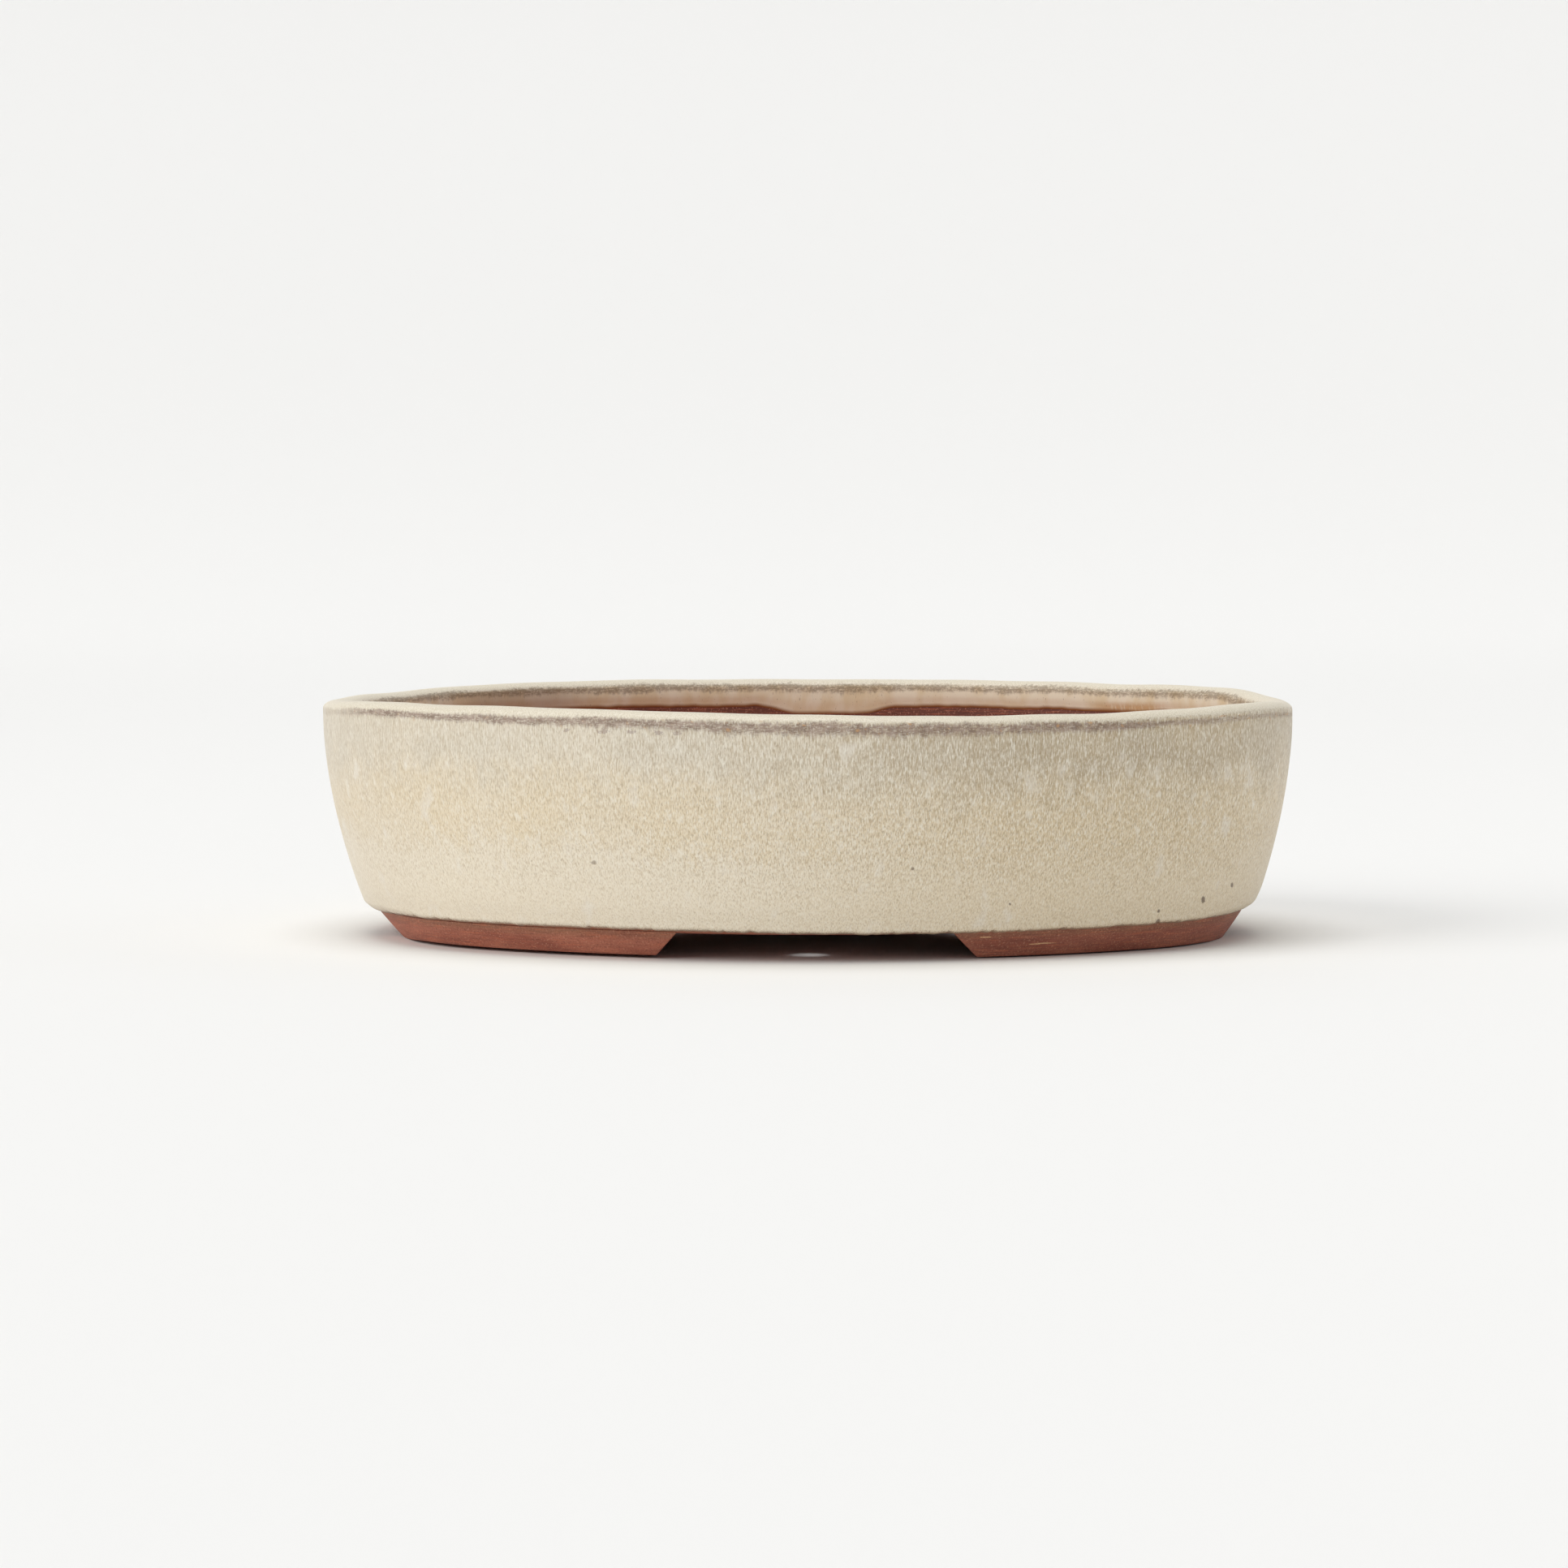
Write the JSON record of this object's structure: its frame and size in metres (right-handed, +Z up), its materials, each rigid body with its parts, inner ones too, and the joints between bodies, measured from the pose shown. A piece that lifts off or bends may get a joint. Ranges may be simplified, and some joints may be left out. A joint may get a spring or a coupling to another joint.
{
  "type": "oval bonsai pot",
  "caption": "Shallow oval bonsai pot with a cream glazed wall, bare red stoneware feet, drain holes, plastic mesh screens and wire clips.",
  "frame": {"origin": "middle of the pot's footprint, on the surface that its feet stand on", "axes": "+X along the pot's long axis to the right, +Y to the back, +Z up"},
  "size_m": [0.22, 0.165, 0.054],
  "materials": {
    "red_stoneware": "matt, unglazed, fired red-brown",
    "cream_glaze": "satin cream ash glaze",
    "mesh_plastic": "matt black",
    "aluminium_wire": "satin, drawn"
  },
  "bodies": {
    "root": {"floor_slab": "red_stoneware", "wall": "red_stoneware", "foot_front_left": "red_stoneware", "foot_front_right": "red_stoneware", "foot_back_left": "red_stoneware", "foot_back_right": "red_stoneware", "glaze_coat": "cream_glaze", "drain_mesh_left": "mesh_plastic", "drain_mesh_right": "mesh_plastic", "mesh_clip_left": "aluminium_wire", "mesh_clip_right": "aluminium_wire"}
  },
  "joints": []
}
